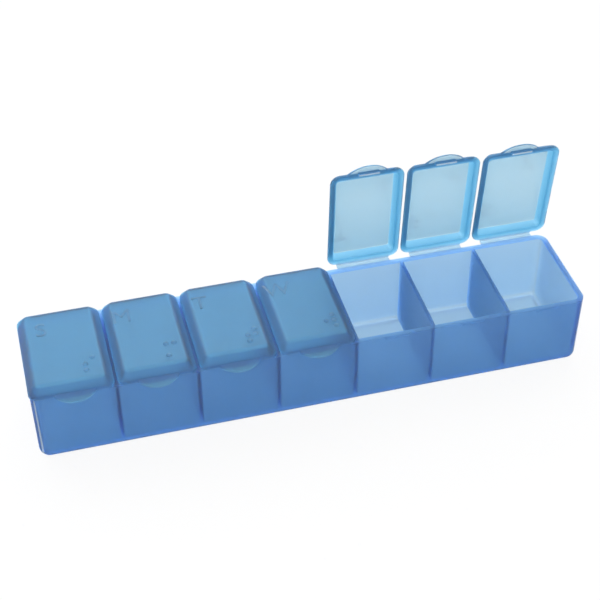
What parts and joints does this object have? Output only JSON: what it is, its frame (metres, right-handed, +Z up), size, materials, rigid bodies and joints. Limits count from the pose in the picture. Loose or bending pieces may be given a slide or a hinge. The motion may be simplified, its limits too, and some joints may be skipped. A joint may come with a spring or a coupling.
{
  "type": "weekly pill box",
  "caption": "Long translucent pill box: a tray with a row of day pockets, each closed by its own lid with a front thumb tab and a living hinge at the rear.",
  "frame": {"origin": "middle of the tray's flat underside", "axes": "+X along the row of days from Sunday to Saturday, -Y towards the front with the thumb tabs, +Z up"},
  "size_m": [0.1526, 0.038, 0.057],
  "materials": {
    "tray": "frosted translucent blue polypropylene",
    "lid": "frosted translucent blue polypropylene",
    "hinge": "thin stretched polypropylene, pale"
  },
  "bodies": {
    "tray": {"tray": "tray", "hinge_sunday": "hinge", "hinge_monday": "hinge", "hinge_tuesday": "hinge", "hinge_wednesday": "hinge", "hinge_thursday": "hinge", "hinge_friday": "hinge", "hinge_saturday": "hinge"},
    "lid_sunday": {"lid_sunday": "lid"},
    "lid_monday": {"lid_monday": "lid"},
    "lid_tuesday": {"lid_tuesday": "lid"},
    "lid_wednesday": {"lid_wednesday": "lid"},
    "lid_thursday": {"lid_thursday": "lid"},
    "lid_friday": {"lid_friday": "lid"},
    "lid_saturday": {"lid_saturday": "lid"}
  },
  "joints": [
    {"name": "lid_sunday_hinge", "type": "hinge", "parent": "tray", "child": "lid_sunday", "pos_m": [-0.0645, 0.0166, 0.02206], "axis": [-1, 0, 0], "range_deg": [0, 180], "deforming": ["hinge_sunday"]},
    {"name": "lid_monday_hinge", "type": "hinge", "parent": "tray", "child": "lid_monday", "pos_m": [-0.043, 0.0166, 0.02206], "axis": [-1, 0, 0], "range_deg": [0, 180], "deforming": ["hinge_monday"]},
    {"name": "lid_tuesday_hinge", "type": "hinge", "parent": "tray", "child": "lid_tuesday", "pos_m": [-0.0215, 0.0166, 0.02206], "axis": [-1, 0, 0], "range_deg": [0, 180], "deforming": ["hinge_tuesday"]},
    {"name": "lid_wednesday_hinge", "type": "hinge", "parent": "tray", "child": "lid_wednesday", "pos_m": [0, 0.0166, 0.02206], "axis": [-1, 0, 0], "range_deg": [0, 180], "deforming": ["hinge_wednesday"]},
    {"name": "lid_thursday_hinge", "type": "hinge", "parent": "tray", "child": "lid_thursday", "pos_m": [0.0215, 0.0166, 0.02206], "axis": [-1, 0, 0], "range_deg": [-86, 94], "deforming": ["hinge_thursday"]},
    {"name": "lid_friday_hinge", "type": "hinge", "parent": "tray", "child": "lid_friday", "pos_m": [0.043, 0.0166, 0.02206], "axis": [-1, 0, 0], "range_deg": [-85, 95], "deforming": ["hinge_friday"]},
    {"name": "lid_saturday_hinge", "type": "hinge", "parent": "tray", "child": "lid_saturday", "pos_m": [0.0645, 0.0166, 0.02206], "axis": [-1, 0, 0], "range_deg": [-84, 96], "deforming": ["hinge_saturday"]}
  ]
}
